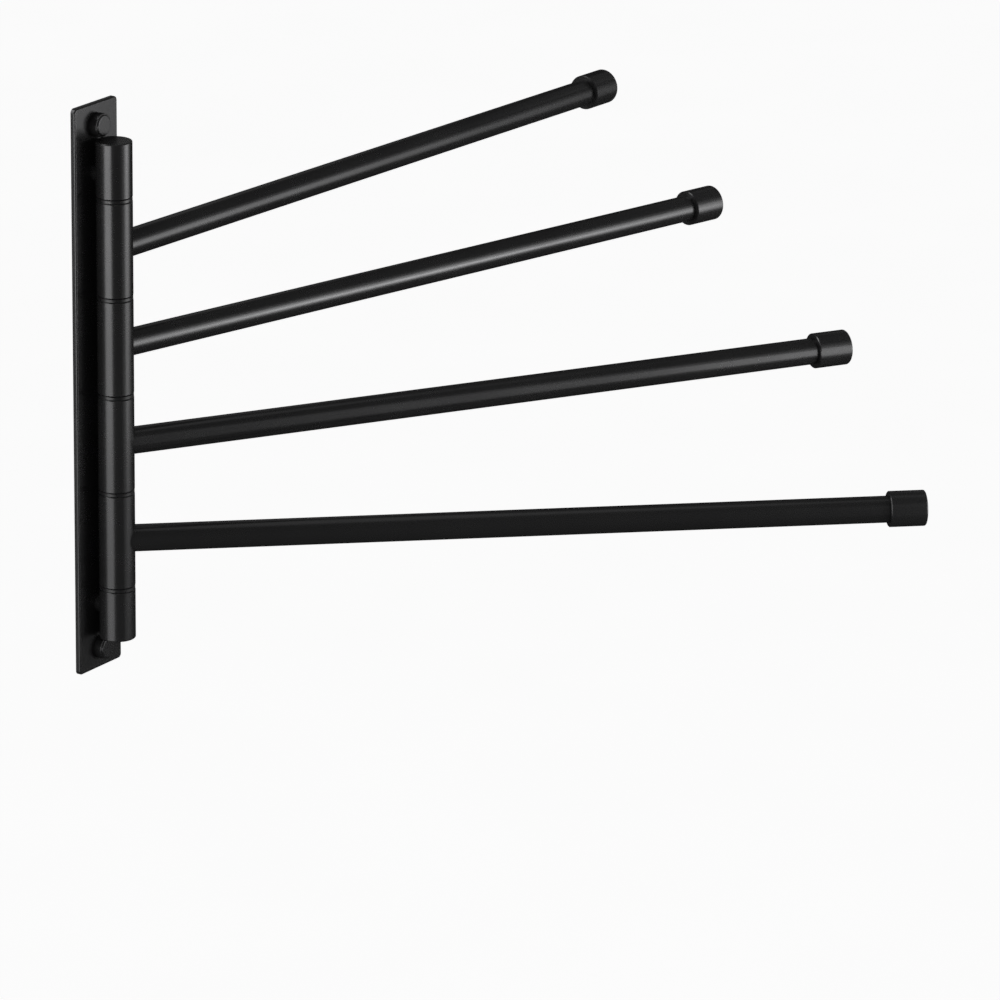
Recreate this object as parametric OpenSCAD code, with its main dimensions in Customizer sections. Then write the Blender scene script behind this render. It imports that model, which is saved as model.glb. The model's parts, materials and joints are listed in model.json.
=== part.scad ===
// Wall-mounted towel rack with four swinging arms.
// A flat wall plate carries a slim vertical column. The column's two end sleeves are fixed
// to the plate, and four hubs turn on the shaft between them, each with one round arm.
// +Z is up, +X runs along the wall and the wall lies on the +Y side.
// The origin is the centre of the plate's back face.

/* [Column] */
// Distance from one arm to the next
arm_pitch = 46.4; // [36:0.1:60]
// Outer diameter of the hubs and the end sleeves
column_d = 16.8; // [16:0.2:20]
// Height of the fixed top sleeve
top_sleeve_h = 26.1; // [22:0.1:32]
// Height of the fixed bottom sleeve
bottom_sleeve_h = 23.8; // [22:0.1:32]
// How far the middle joint lies below the plate's middle
joint_drop = 0.95; // [0:0.05:2]
// Thickness of the washers between the hubs
washer_t = 1.6; // [1:0.1:3]
// Clear space above and below each washer
run_gap = 0.1; // [0.05:0.01:0.2]
// Clear space between the column and the plate
column_gap = 1.35; // [0.8:0.05:3]
// Diameter of the centre shaft
shaft_d = 8; // [7:0.5:8]
// Radial running clearance between a hub's liner and the shaft
shaft_clearance = 0.05; // [0.02:0.01:0.1]

/* [Wall plate] */
// Width of the plate
plate_w = 32.3; // [26:0.1:45]
// Thickness of the plate
plate_t = 2.5; // [2.5:0.1:4]
// Height of the plate
plate_h = 270; // [269:0.1:300]
// Radius of the plate's corners, seen from the front
plate_corner = 2; // [1.2:0.1:4]
// Rounding of the plate's front edges
plate_edge = 0.8; // [0.3:0.1:1]

/* [Arms] */
// Distance from the column's axis to the arm's end
arm_reach = 380.3; // [200:0.1:500]
// Outer diameter of the arm tube
tube_d = 12.7; // [11:0.1:13]
// Wall thickness of the arm tube
tube_wall = 0.8; // [0.6:0.1:1.2]
// Diameter of the end cap
cap_d = 17; // [14.5:0.5:18]
// Length of the end cap
cap_l = 17.5; // [12:0.5:25]
// Each arm's angle out from the wall, from the top arm down
arm_angles = [3.7, 14.5, 31.3, 48.3]; // [0:0.1:180]

/* [Fixings] */
// Diameter of the plate's holes for the wall screws
wall_hole_d = 5; // [4.4:0.1:5.5]
// Distance between the two wall screws
wall_hole_span = 250; // [248:1:252]
// Diameter of the screw covers
cover_d = 11; // [11:0.2:12]
// Height of a screw cover's shoulder above the plate
cover_h = 3.9; // [3.9:0.1:5]
// Height of the raised button on a screw cover
button_h = 0.7; // [0.6:0.1:1.5]
// Length of the screws that hold the end sleeves
sleeve_screw_l = 14; // [13:0.5:15]
// Distance between the two sleeve screws
sleeve_screw_span = 206; // [206:1:212]

/* [Hidden] */
ARMS = [1, 2, 3, 4];
WASHERS = [1, 2, 3, 4, 5];

TOP = 1;
BOTTOM = -1;
// Extra length that carries a cut clear through a face
through = 1;
$fn = 96;

// Numbers of the arm and the washer that would lie level with the column's middle joint
middle_arm = (len(ARMS) + 1) / 2;
middle_washer = (len(WASHERS) + 1) / 2;

// Column
column_r = column_d / 2;
column_y = -(plate_t + column_gap + column_r);
hub_h = arm_pitch - washer_t - 2 * run_gap;
sleeve_reach = 2 * arm_pitch + washer_t / 2 + run_gap;
sleeve_cap_t = 3;
shaft_r = shaft_d / 2;
hub_chamfer = 0.4;
sleeve_edge = 0.6;
washer_inset = 0.1;
washer_chamfer = 0.2;
liner_r = 5.2;
liner_inset = 0.2;

// Inner end, height and outer end of the sleeve at the top or the bottom end of the column
function sleeve_start(end) = sleeve_reach - end * joint_drop;
function sleeve_height(end) = end == TOP ? top_sleeve_h : bottom_sleeve_h;
function sleeve_end(end) = sleeve_start(end) + sleeve_height(end);

// Arms
tube_r = tube_d / 2;
tube_bore_r = tube_r - tube_wall;
cap_end_t = 3;
cap_edge = 0.8;
cap_chamfer = 0.4;
spigot_r = 4;
spigot_l = 26;

// Covers over the wall screws
wall_hole_z = wall_hole_span / 2;
base_t = 1.2;
base_y = -(plate_t + base_t);
base_hole_r = 2.2;
base_inset = 0.2;
base_rim_h = 1.1;
base_rim_r = 4.7;
base_rim_bore_r = 4.1;
shoulder_h = cover_h - base_t;
cover_top_t = 0.8;
cover_edge = 0.3;
button_inset = 0.65;
button_r = cover_d / 2 - button_inset;
button_edge = 0.6;
groove_w = 0.2;
groove_deep = 0.25;

// Sleeve screws, countersunk into the plate's back
sleeve_screw_z = sleeve_screw_span / 2;
sleeve_screw_r = 2;
sleeve_hole_r = 2.2;
sink_r = 4.1;
sink_under = 0.1;
sink_h = 1.9;
head_r = sink_r - sink_under;
hex_d = 2.9;
hex_deep = 1.2;
spacer_d = 9.5;
// Reach of the shaft's tapped holes, measured from the wall
tapped_reach = 15.5;

metal = [0.11, 0.11, 0.12];
nylon = [0.05, 0.05, 0.055];
bush = [0.86, 0.85, 0.80];
steel = [0.62, 0.63, 0.65];

// ---- Helpers ----

// Puts a shape on the column's axis
module on_column() translate([0, column_y, 0]) children();

// Puts a shape drawn along +X on arm number i
module on_arm(i)
    on_column()
        translate([0, 0, (middle_arm - i) * arm_pitch - joint_drop])
            rotate([0, 0, -arm_angles[i - 1]])
                children();

// Rod along +X from x0 to x1
module rod_x(r, x0, x1)
    translate([x0, 0, 0]) rotate([0, 90, 0]) cylinder(r = r, h = x1 - x0);

// Rod along Y from y0 back towards the wall to y1
module rod_y(r, y0, y1)
    translate([0, y0, 0]) rotate([-90, 0, 0]) cylinder(r = r, h = y1 - y0);

// Upright ring with both outer ends chamfered
module chamfered_ring(r, bore_r, h, chamfer)
    translate([0, 0, -h / 2])
        rotate_extrude()
            polygon([
                [bore_r, 0],
                [r - chamfer, 0],
                [r, chamfer],
                [r, h - chamfer],
                [r - chamfer, h],
                [bore_r, h]
            ]);

// Half outline of a round bar of radius r and length h, its far end's edge rounded by e
module round_ended_profile(r, h, e) {
    square([r - e, h]);
    square([r, h - e]);
    translate([r - e, h - e]) circle(r = e);
}

// Triangle that takes the near end's edge off a half outline of radius r
module chamfer_cut(r, chamfer)
    polygon([
        [r - chamfer - through, -through],
        [r + through, -through],
        [r + through, chamfer + through]
    ]);

// ---- Fixed pieces ----

// Plate slab with rounded front edges, w wide along X and h high along Z, no corners
module edged_slab(w, h) {
    linear_extrude(h, center = true) {
        translate([-w / 2, plate_edge - plate_t]) square([w, plate_t - plate_edge]);
        translate([plate_edge - w / 2, -plate_t]) square([w - 2 * plate_edge, plate_t]);
        for (side = [-1, 1])
            translate([side * (w / 2 - plate_edge), plate_edge - plate_t]) circle(r = plate_edge);
    }
}

// Quarter of a round button that finishes one corner of the plate
module plate_corner_quarter()
    rotate([90, 0, 0])
        rotate_extrude(angle = 90)
            intersection() {
                round_ended_profile(plate_corner, plate_t, plate_edge);
                square([plate_corner, plate_t]);
            }

module wall_plate()
    color(metal)
        difference() {
            union() {
                edged_slab(plate_w, plate_h - 2 * plate_corner);
                rotate([0, 90, 0]) edged_slab(plate_h, plate_w - 2 * plate_corner);
                for (turn = [0, 1])
                    rotate([0, turn * 180, 0]) {
                        translate([plate_w / 2 - plate_corner, 0, plate_h / 2 - plate_corner])
                            plate_corner_quarter();
                        translate([plate_corner - plate_w / 2, 0, plate_h / 2 - plate_corner])
                            rotate([0, -90, 0])
                                plate_corner_quarter();
                    }
            }
            for (end = [TOP, BOTTOM]) {
                translate([0, 0, end * wall_hole_z])
                    rod_y(wall_hole_d / 2, -plate_t - through, through);
                translate([0, 0, end * sleeve_screw_z]) {
                    rod_y(sleeve_hole_r, -plate_t - through, through);
                    rotate([90, 0, 0]) cylinder(r1 = sink_r, r2 = sink_r - sink_h, h = sink_h);
                }
            }
        }

// Fixed end sleeve, closed at its outer end, drilled towards the wall for its screw
module end_sleeve(end)
    color(metal)
        on_column()
            difference() {
                mirror([0, 0, end == TOP ? 0 : 1])
                    translate([0, 0, sleeve_start(end)])
                        rotate_extrude()
                            difference() {
                                round_ended_profile(column_r, sleeve_height(end), sleeve_edge);
                                square([shaft_r, sleeve_height(end) - sleeve_cap_t]);
                                chamfer_cut(column_r, hub_chamfer);
                            }
                translate([0, 0, end * sleeve_screw_z]) rod_y(sleeve_hole_r, 0, column_r + through);
            }

// Boss that holds an end sleeve off the plate, hollowed to the sleeve's curve
module spacer(end)
    color(metal)
        difference() {
            translate([0, 0, end * sleeve_screw_z])
                difference() {
                    rod_y(spacer_d / 2, column_y, -plate_t);
                    rod_y(sleeve_hole_r, column_y - through, through);
                }
            on_column() cylinder(r = column_r, h = plate_h, center = true);
        }

// Countersunk machine screw from the plate's back into the centre shaft
module sleeve_screw(end)
    color(steel)
        translate([0, -sink_under, end * sleeve_screw_z])
            rotate([90, 0, 0])
                difference() {
                    union() {
                        cylinder(r1 = head_r, r2 = sleeve_screw_r, h = head_r - sleeve_screw_r);
                        cylinder(r = sleeve_screw_r, h = sleeve_screw_l);
                    }
                    translate([0, 0, -through])
                        cylinder(d = hex_d, h = hex_deep + through, $fn = 6);
                }

module centre_shaft()
    color(steel)
        on_column()
            difference() {
                translate([0, 0, sleeve_cap_t - sleeve_end(BOTTOM)])
                    cylinder(r = shaft_r, h = sleeve_end(TOP) + sleeve_end(BOTTOM) - 2 * sleeve_cap_t);
                for (end = [TOP, BOTTOM])
                    translate([0, 0, end * sleeve_screw_z])
                        rod_y(sleeve_screw_r, -column_y - tapped_reach, shaft_r + through);
            }

module washer(i)
    color(nylon)
        on_column()
            translate([0, 0, (middle_washer - i) * arm_pitch - joint_drop])
                chamfered_ring(column_r - washer_inset, shaft_r, washer_t, washer_chamfer);

// Ring under the wall screw's head, whose raised rim the cover snaps onto
module cover_base(end)
    color(metal)
        translate([0, 0, end * wall_hole_z])
            difference() {
                union() {
                    rod_y(cover_d / 2 - base_inset, base_y, -plate_t);
                    rod_y(base_rim_r, base_y - base_rim_h, -plate_t);
                }
                rod_y(base_rim_bore_r, base_y - base_rim_h - through, base_y);
                rod_y(base_hole_r, base_y - through, through);
            }

// Round cap over the wall screw, with a raised button inside a fine groove
module screw_cover(end)
    color(metal)
        translate([0, base_y, end * wall_hole_z])
            rotate([90, 0, 0])
                rotate_extrude()
                    difference() {
                        union() {
                            round_ended_profile(cover_d / 2, shoulder_h, cover_edge);
                            round_ended_profile(button_r, shoulder_h + button_h, button_edge);
                        }
                        square([base_rim_r, shoulder_h - cover_top_t]);
                        translate([button_r, shoulder_h - groove_deep])
                            square([groove_w, groove_deep + through]);
                    }

// ---- Pieces of one arm ----

module hub(i)
    color(metal)
        on_arm(i)
            difference() {
                chamfered_ring(column_r, liner_r, hub_h, hub_chamfer);
                rod_x(spigot_r, 0, column_r + through);
            }

module hub_liner(i)
    color(bush)
        on_arm(i)
            difference() {
                cylinder(r = liner_r, h = hub_h - 2 * liner_inset, center = true);
                cylinder(r = shaft_r + shaft_clearance, h = hub_h, center = true);
            }

// Solid plug fixed in the hub's side, which fills the root of the arm tube
module arm_spigot(i)
    color(steel)
        on_arm(i)
            difference() {
                union() {
                    difference() {
                        rod_x(tube_bore_r, 0, spigot_l);
                        cylinder(r = column_r, h = hub_h, center = true);
                    }
                    rod_x(spigot_r, 0, column_r + through);
                }
                cylinder(r = liner_r, h = hub_h, center = true);
            }

// Arm tube, its root cut to the hub's curve
module arm_tube(i)
    color(metal)
        on_arm(i)
            difference() {
                rod_x(tube_r, 0, arm_reach - cap_end_t);
                rod_x(tube_bore_r, -through, arm_reach);
                cylinder(r = column_r, h = hub_h, center = true);
            }

// Turned end cap with a blind bore that the tube's end fills
module end_cap(i)
    color(metal)
        on_arm(i)
            translate([arm_reach - cap_l, 0, 0])
                rotate([0, 90, 0])
                    rotate_extrude()
                        difference() {
                            round_ended_profile(cap_d / 2, cap_l, cap_edge);
                            square([tube_r, cap_l - cap_end_t]);
                            chamfer_cut(cap_d / 2, cap_chamfer);
                        }

wall_plate();
centre_shaft();
end_sleeve(TOP);  // top_sleeve
end_sleeve(BOTTOM);  // bottom_sleeve
spacer(TOP);  // top_spacer
spacer(BOTTOM);  // bottom_spacer
sleeve_screw(TOP);  // top_sleeve_screw
sleeve_screw(BOTTOM);  // bottom_sleeve_screw
cover_base(TOP);  // top_cover_base
cover_base(BOTTOM);  // bottom_cover_base
screw_cover(TOP);  // top_screw_cover
screw_cover(BOTTOM);  // bottom_screw_cover
for (i = WASHERS) washer(i);
for (i = ARMS) hub(i);
for (i = ARMS) hub_liner(i);
for (i = ARMS) arm_spigot(i);
for (i = ARMS) arm_tube(i);
for (i = ARMS) end_cap(i);
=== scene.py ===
"""Looks of a wall-mounted towel rack with four swinging arms.

Units are metres, in the part's own frame: +Z up, +X along the wall, the wall on the +Y side,
and the origin at the centre of the wall plate's back face.
"""

import json
import math

import bmesh
import bpy
from mathutils import Matrix, Vector

MM = 0.001

# Camera, looking at a point among the arms
CAMERA_AIM = Vector((0.0938, -0.1615, -0.0493))
CAMERA_AZIMUTH = -57.248
CAMERA_ELEVATION = 17.966
CAMERA_ROLL = 0.6375
CAMERA_DISTANCE = 3.0
CAMERA_LENS = 235.03
SENSOR_WIDTH = 36.0
CAMERA_CLIP_END = 100.0

# Floor and backdrop
FLOOR_DROP = 2.40
FLOOR_RADIUS = 15.0
DOME_RADIUS = 16.0
FLOOR_SEGMENTS = 128
DOME_SEGMENTS = 64
PALE_TONE = (0.94, 0.94, 0.94)

# Even light from all around, on top of the softboxes
WORLD_STRENGTH = 0.04

# Places of the colour sockets on a colour Mix node
MIX_COLOUR_A = 6
MIX_COLOUR_B = 7
MIX_COLOUR_OUT = 2

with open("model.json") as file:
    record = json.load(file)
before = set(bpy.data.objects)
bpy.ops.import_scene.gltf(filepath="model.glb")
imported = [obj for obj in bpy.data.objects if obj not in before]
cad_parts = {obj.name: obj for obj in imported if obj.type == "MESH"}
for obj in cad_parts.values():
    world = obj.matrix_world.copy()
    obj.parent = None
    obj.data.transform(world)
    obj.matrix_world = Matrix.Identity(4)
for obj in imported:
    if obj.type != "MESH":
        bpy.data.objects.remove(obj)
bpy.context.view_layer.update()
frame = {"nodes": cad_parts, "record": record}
nodes = frame["nodes"]


# ---- Camera ----

def make_camera():
    azimuth, elevation, roll = (
        math.radians(a) for a in (CAMERA_AZIMUTH, CAMERA_ELEVATION, CAMERA_ROLL)
    )
    back = Vector((
        math.sin(azimuth) * math.cos(elevation),
        -math.cos(azimuth) * math.cos(elevation),
        math.sin(elevation),
    ))
    level_right = Vector((math.cos(azimuth), math.sin(azimuth), 0))
    level_up = back.cross(level_right)
    right = math.cos(roll) * level_right + math.sin(roll) * level_up
    up = back.cross(right)
    data = bpy.data.cameras.new("camera")
    data.lens = CAMERA_LENS
    data.sensor_width = SENSOR_WIDTH
    data.clip_end = CAMERA_CLIP_END
    camera = bpy.data.objects.new("camera", data)
    turn = Matrix((right, up, back)).transposed().to_4x4()
    camera.matrix_world = Matrix.Translation(CAMERA_AIM + back * CAMERA_DISTANCE) @ turn
    bpy.context.scene.collection.objects.link(camera)
    bpy.context.scene.camera = camera


# ---- Materials ----

class Nodes:
    """Short calls for building one material's node tree."""

    def __init__(self, name):
        self.material = bpy.data.materials.new(name)
        self.material.use_nodes = True
        self.tree = self.material.node_tree
        self.shader = self.tree.nodes["Principled BSDF"]
        self.place = self.add("ShaderNodeTexCoord").outputs["Object"]

    def add(self, kind, **settings):
        made = self.tree.nodes.new(kind)
        for key, value in settings.items():
            setattr(made, key, value)
        return made

    def link(self, source, target):
        self.tree.links.new(source, target)

    def noise(self, scale, detail=3.0, rough=0.5, stretch=(1, 1, 1)):
        mapping = self.add("ShaderNodeMapping")
        mapping.inputs["Scale"].default_value = stretch
        self.link(self.place, mapping.inputs["Vector"])
        made = self.add("ShaderNodeTexNoise")
        made.inputs["Scale"].default_value = scale
        made.inputs["Detail"].default_value = detail
        made.inputs["Roughness"].default_value = rough
        self.link(mapping.outputs["Vector"], made.inputs["Vector"])
        return made.outputs["Fac"]

    def remap(self, source, low, high, to_low, to_high):
        made = self.add("ShaderNodeMapRange", clamp=True)
        made.inputs["From Min"].default_value = low
        made.inputs["From Max"].default_value = high
        made.inputs["To Min"].default_value = to_low
        made.inputs["To Max"].default_value = to_high
        self.link(source, made.inputs["Value"])
        return made.outputs["Result"]

    def math(self, operation, a, b):
        made = self.add("ShaderNodeMath", operation=operation)
        for slot, value in zip(made.inputs, (a, b)):
            if isinstance(value, (int, float)):
                slot.default_value = value
            else:
                self.link(value, slot)
        return made.outputs["Value"]

    def mix(self, factor, a, b):
        made = self.add("ShaderNodeMix", data_type="RGBA")
        self.link(factor, made.inputs["Factor"])
        for place, value in ((MIX_COLOUR_A, a), (MIX_COLOUR_B, b)):
            slot = made.inputs[place]
            if isinstance(value, tuple):
                slot.default_value = (*value, 1)
            else:
                self.link(value, slot)
        return made.outputs[MIX_COLOUR_OUT]

    def bump(self, height, depth, strength):
        made = self.add("ShaderNodeBump")
        made.inputs["Strength"].default_value = strength
        made.inputs["Distance"].default_value = depth
        self.link(height, made.inputs["Height"])
        return made.outputs["Normal"]


def black_coating():
    """Satin black coating over steel: faint drift in tone and sheen, muted at glancing angles."""
    n = Nodes("black_coating")
    grain = n.noise(1800, detail=2)
    orange_peel = n.noise(420, detail=1)
    drift = n.noise(14, detail=4)
    rubbed = n.noise(55, detail=5, rough=0.65)
    tone = n.mix(n.remap(drift, 0.35, 0.65, 0, 1), (0.136, 0.136, 0.138), (0.156, 0.156, 0.158))
    speck = n.remap(grain, 0.60, 0.80, 0, 0.12)
    n.link(n.mix(speck, tone, (0.20, 0.20, 0.203)), n.shader.inputs["Base Color"])
    sheen = n.math("ADD", n.remap(rubbed, 0.3, 0.7, 0.245, 0.28), n.remap(grain, 0.3, 0.7, -0.01, 0.01))
    n.link(sheen, n.shader.inputs["Roughness"])
    n.link(n.bump(orange_peel, 0.01 * MM, 0.15), n.shader.inputs["Normal"])
    n.shader.inputs["Metallic"].default_value = 0.80
    n.shader.inputs["Specular Tint"].default_value = (0.4, 0.4, 0.4, 1)
    n.shader.inputs["IOR"].default_value = 1.5
    return n.material


def plain_steel():
    """Bright zinc-plated steel with a fine drawn grain and faint cloudiness."""
    n = Nodes("plain_steel")
    cloud = n.noise(90, detail=4)
    grain = n.noise(900, detail=3, stretch=(1, 0.08, 1))
    n.link(n.mix(n.remap(cloud, 0.35, 0.65, 0, 1), (0.50, 0.51, 0.53), (0.62, 0.62, 0.63)),
           n.shader.inputs["Base Color"])
    n.link(n.remap(grain, 0.3, 0.7, 0.24, 0.40), n.shader.inputs["Roughness"])
    n.link(n.bump(grain, 0.01 * MM, 0.4), n.shader.inputs["Normal"])
    n.shader.inputs["Metallic"].default_value = 1.0
    return n.material


def nylon(name, dark, light, rough, ior):
    """Moulded nylon: soft sheen with a faint mottled surface."""
    n = Nodes(name)
    mottle = n.noise(700, detail=3)
    n.link(n.mix(n.remap(mottle, 0.35, 0.65, 0, 1), dark, light), n.shader.inputs["Base Color"])
    n.link(n.remap(mottle, 0.3, 0.7, rough - 0.05, rough + 0.05), n.shader.inputs["Roughness"])
    n.link(n.bump(mottle, 0.015 * MM, 0.2), n.shader.inputs["Normal"])
    n.shader.inputs["IOR"].default_value = ior
    return n.material


# ---- Stage ----

def mesh_object(name, fill, material):
    """New mesh object whose shape the function fill(bm) draws."""
    mesh = bpy.data.meshes.new(name)
    bm = bmesh.new()
    fill(bm)
    bm.to_mesh(mesh)
    bm.free()
    mesh.materials.append(material)
    made = bpy.data.objects.new(name, mesh)
    bpy.context.scene.collection.objects.link(made)
    return made


def pale_material(name, colour, glow):
    """Pale matt paint that also gives off an even light."""
    n = Nodes(name)
    patchy = n.remap(n.noise(3, detail=2), 0.3, 0.7, 0, 1)
    paler = tuple(min(1.0, c * 1.006) for c in colour)
    tone = n.mix(patchy, colour, paler)
    n.link(tone, n.shader.inputs["Base Color"])
    n.link(tone, n.shader.inputs["Emission Color"])
    n.shader.inputs["Emission Strength"].default_value = glow
    n.shader.inputs["Roughness"].default_value = 0.9
    return n.material


def hide_from_reflections(thing):
    thing.visible_diffuse = False
    thing.visible_glossy = False
    thing.visible_transmission = False
    thing.visible_shadow = False


def make_stage():
    floor = mesh_object(
        "floor",
        lambda bm: bmesh.ops.create_circle(
            bm, cap_ends=True, radius=FLOOR_RADIUS, segments=FLOOR_SEGMENTS),
        pale_material("floor_paint", PALE_TONE, 0.98),
    )
    floor.location.z = -FLOOR_DROP
    dome = mesh_object(
        "backdrop",
        lambda bm: bmesh.ops.create_uvsphere(
            bm, u_segments=DOME_SEGMENTS, v_segments=DOME_SEGMENTS // 2, radius=DOME_RADIUS),
        pale_material("backdrop_paint", PALE_TONE, 1.01),
    )
    for thing in (floor, dome):
        hide_from_reflections(thing)


# ---- Lights ----

def softbox(name, centre, towards, size, radiance):
    """Rectangular area light; its power follows from its radiance and area."""
    data = bpy.data.lights.new(name, "AREA")
    data.shape = "RECTANGLE"
    data.size, data.size_y = size
    data.energy = radiance * math.pi * size[0] * size[1]
    light = bpy.data.objects.new(name, data)
    light.location = centre
    light.rotation_euler = (Vector(towards) - Vector(centre)).to_track_quat("-Z", "Y").to_euler()
    light.visible_camera = False
    bpy.context.scene.collection.objects.link(light)


def make_lights():
    # Name, centre, point it faces, width and height, radiance
    softbox("front_key", (0.57, -0.90, -0.05), (0.57, 0, -0.05), (0.32, 0.18), 3.8)
    softbox("front_fill", (0.66, -0.90, -0.02), (0.66, 0, -0.02), (0.92, 0.56), 1.25)
    softbox("front_wide", (0.70, -0.90, 0.05), (0.70, 0, 0.05), (1.60, 1.00), 0.18)
    softbox("plate_glow", (1.38, -0.90, -0.36), (1.38, 0, -0.36), (0.45, 0.24), 0.30)
    softbox("side_key", (-0.90, 0.08, -0.12), (0, 0.08, -0.12), (0.66, 0.19), 2.05)
    softbox("side_fill", (-0.90, 0.10, -0.30), (0, 0.10, -0.30), (0.80, 0.55), 0.70)
    softbox("back_left", (-0.70, 0.90, 0.50), (0.10, 0, 0), (1.20, 1.20), 0.80)
    softbox("back_right", (0.90, 0.70, 0.60), (0.20, 0, 0), (0.60, 0.60), 0.20)
    softbox("right", (1.20, -0.10, 0.30), (0.20, -0.10, 0), (0.60, 0.60), 0.25)
    softbox("back_high", (-0.50, 0.80, 1.30), (0.05, -0.10, 0), (0.80, 0.80), 1.30)
    softbox("overhead", (0.20, 0.00, 1.20), (0.20, 0, 0), (1.00, 0.80), 0.15)
    world = bpy.data.worlds.new("studio")
    world.use_nodes = True
    ground = world.node_tree.nodes["Background"]
    ground.inputs["Color"].default_value = (1, 1, 1, 1)
    ground.inputs["Strength"].default_value = WORLD_STRENGTH
    bpy.context.scene.world = world


# ---- Assembly ----

def dress_nodes():
    """Gives every CAD node the finish of its material slot."""
    finishes = {
        "black_metal": black_coating(),
        "plain_steel": plain_steel(),
        "black_nylon": nylon(
            "black_nylon", (0.022, 0.022, 0.023), (0.028, 0.028, 0.029), rough=0.30, ior=1.9),
        "white_nylon": nylon(
            "white_nylon", (0.78, 0.77, 0.72), (0.84, 0.83, 0.79), rough=0.45, ior=1.5),
    }
    for part in frame["record"]["subparts"]:
        nodes[part["node"]].material_slots[0].material = finishes[part["material_slot"]]


bpy.context.scene.view_settings.view_transform = "Standard"
make_camera()
make_stage()
make_lights()
dress_nodes()
